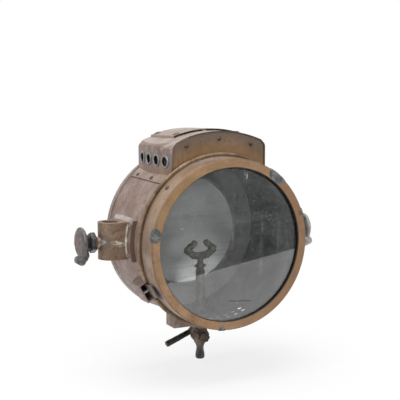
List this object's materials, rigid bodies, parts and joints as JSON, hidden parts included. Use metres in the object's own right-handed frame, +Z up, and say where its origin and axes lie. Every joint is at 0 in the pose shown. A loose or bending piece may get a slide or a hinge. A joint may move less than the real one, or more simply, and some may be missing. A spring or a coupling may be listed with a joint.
{
  "type": "acetylene driving lamp",
  "caption": "Round sheet-metal acetylene driving lamp with hinged glazed door, domed vent hood, mirror, twin-tip burner, gas cock and side fork sockets with clamp screws.",
  "frame": {"origin": "on the drum's axis, midway between the two fork sockets", "axes": "+Z up, the glass faces -Y, +X towards the hinge side (the right as seen from the front)"},
  "size_m": [0.3047, 0.1399, 0.2842],
  "materials": {
    "drum_copper": "brown-grey patina over sheet brass, satin",
    "ring_brass": "orange-brown tarnish, edges rubbed brighter",
    "hood_copper": "pinkish grey-brown patina with grey solder stains",
    "hood_plate_brass": "olive-brown tarnish, more golden lower down",
    "eyelet_metal": "dull grey with bluish solder round the flange",
    "rivet_iron": "dark oxide",
    "lug_brass": "brown tarnish with pale corroded marks",
    "screw_brass": "worn brass thread",
    "nut_iron": "near-black oxide",
    "thumb_metal": "mottled grey plating, brown in the hollows",
    "catch_steel": "plain grey steel",
    "clip_metal": "dull grey sheet",
    "burner_metal": "dark olive-grey oxide",
    "burner_tip_stone": "grey soapstone, sooted",
    "cock_metal": "dark brown oxide, lighter on the rubbed edges",
    "mirror_silver": "aged silvered glass, slightly clouded",
    "lens_glass": "flat clear glass",
    "seal_cord": "dark packing cord"
  },
  "bodies": {
    "lamp_body": {"drum_shell": "drum_copper", "front_collar": "ring_brass", "door_spigot": "drum_copper", "back_cover": "drum_copper", "hood_shell": "hood_copper", "hood_front_plate": "hood_plate_brass", "hood_back_plate": "hood_copper", "hood_rivets": "rivet_iron", "vent_eyelets": "eyelet_metal", "chimney_cover": "hood_copper", "cover_studs": "hood_plate_brass", "mirror_glass": "mirror_silver", "mirror_rim": "ring_brass", "mirror_brackets": "ring_brass", "burner_stem": "burner_metal", "burner_collar": "burner_metal", "burner_yoke": "burner_metal", "burner_tips": "burner_tip_stone", "base_box": "drum_copper", "cock_body": "cock_metal", "hose_nozzle": "cock_metal", "left_saddle": "drum_copper", "right_saddle": "drum_copper", "left_socket_lug": "lug_brass", "right_socket_lug": "lug_brass", "saddle_rivets": "drum_copper", "catch_box": "drum_copper", "catch_pin": "catch_steel", "hinge_body_leaf": "drum_copper", "hinge_pin": "ring_brass"},
    "front_door": {"door_band": "drum_copper", "door_ring": "ring_brass", "glass_seal": "seal_cord", "front_glass": "lens_glass", "glass_spring_ring": "ring_brass", "door_screws": "ring_brass", "ring_clips": "clip_metal", "hinge_door_leaf": "drum_copper", "catch_tongue": "drum_copper"},
    "gas_cock_plug": {"cock_plug": "cock_metal", "cock_lever": "cock_metal", "cock_plug_nut": "cock_metal"},
    "left_screw": {"left_screw_shank": "screw_brass"},
    "left_thumb": {"left_thumb_piece": "thumb_metal"},
    "left_nut": {"left_lock_nut": "nut_iron"},
    "right_screw": {"right_screw_shank": "screw_brass"},
    "right_thumb": {"right_thumb_piece": "thumb_metal"}
  },
  "joints": [
    {"name": "door_swing", "type": "hinge", "parent": "lamp_body", "child": "front_door", "pos_m": [0.0918, -0.04625, 0.053], "axis": [-0.5, 0, 0.866], "range_deg": [0, 100]},
    {"name": "cock_turn", "type": "hinge", "parent": "lamp_body", "child": "gas_cock_plug", "pos_m": [0, 0.007, -0.1256], "axis": [0, -1, 0], "range_deg": [0, 67]},
    {"name": "left_screw_travel", "type": "slide", "parent": "lamp_body", "child": "left_screw", "axis": [1, 0, 0], "range_m": [-0.003, 0.0015]},
    {"name": "left_thumb_turn", "type": "hinge", "parent": "left_screw", "child": "left_thumb", "pos_m": [-0.1545, 0, 0.002], "axis": [1, 0, 0], "range_deg": [-720, 360]},
    {"name": "left_nut_turn", "type": "hinge", "parent": "left_screw", "child": "left_nut", "pos_m": [-0.1425, 0, 0.002], "axis": [1, 0, 0], "continuous": true},
    {"name": "right_screw_travel", "type": "slide", "parent": "lamp_body", "child": "right_screw", "axis": [-1, 0, 0], "range_m": [-0.003, 0.0015]},
    {"name": "right_thumb_turn", "type": "hinge", "parent": "right_screw", "child": "right_thumb", "pos_m": [0.1405, 0, 0.002], "axis": [-1, 0, 0], "range_deg": [-720, 360]}
  ],
  "couplings": [
    {"joint": "left_screw_travel", "follows": "left_thumb_turn", "m_per_rad": 0.00023872},
    {"joint": "right_screw_travel", "follows": "right_thumb_turn", "m_per_rad": 0.00023872}
  ]
}
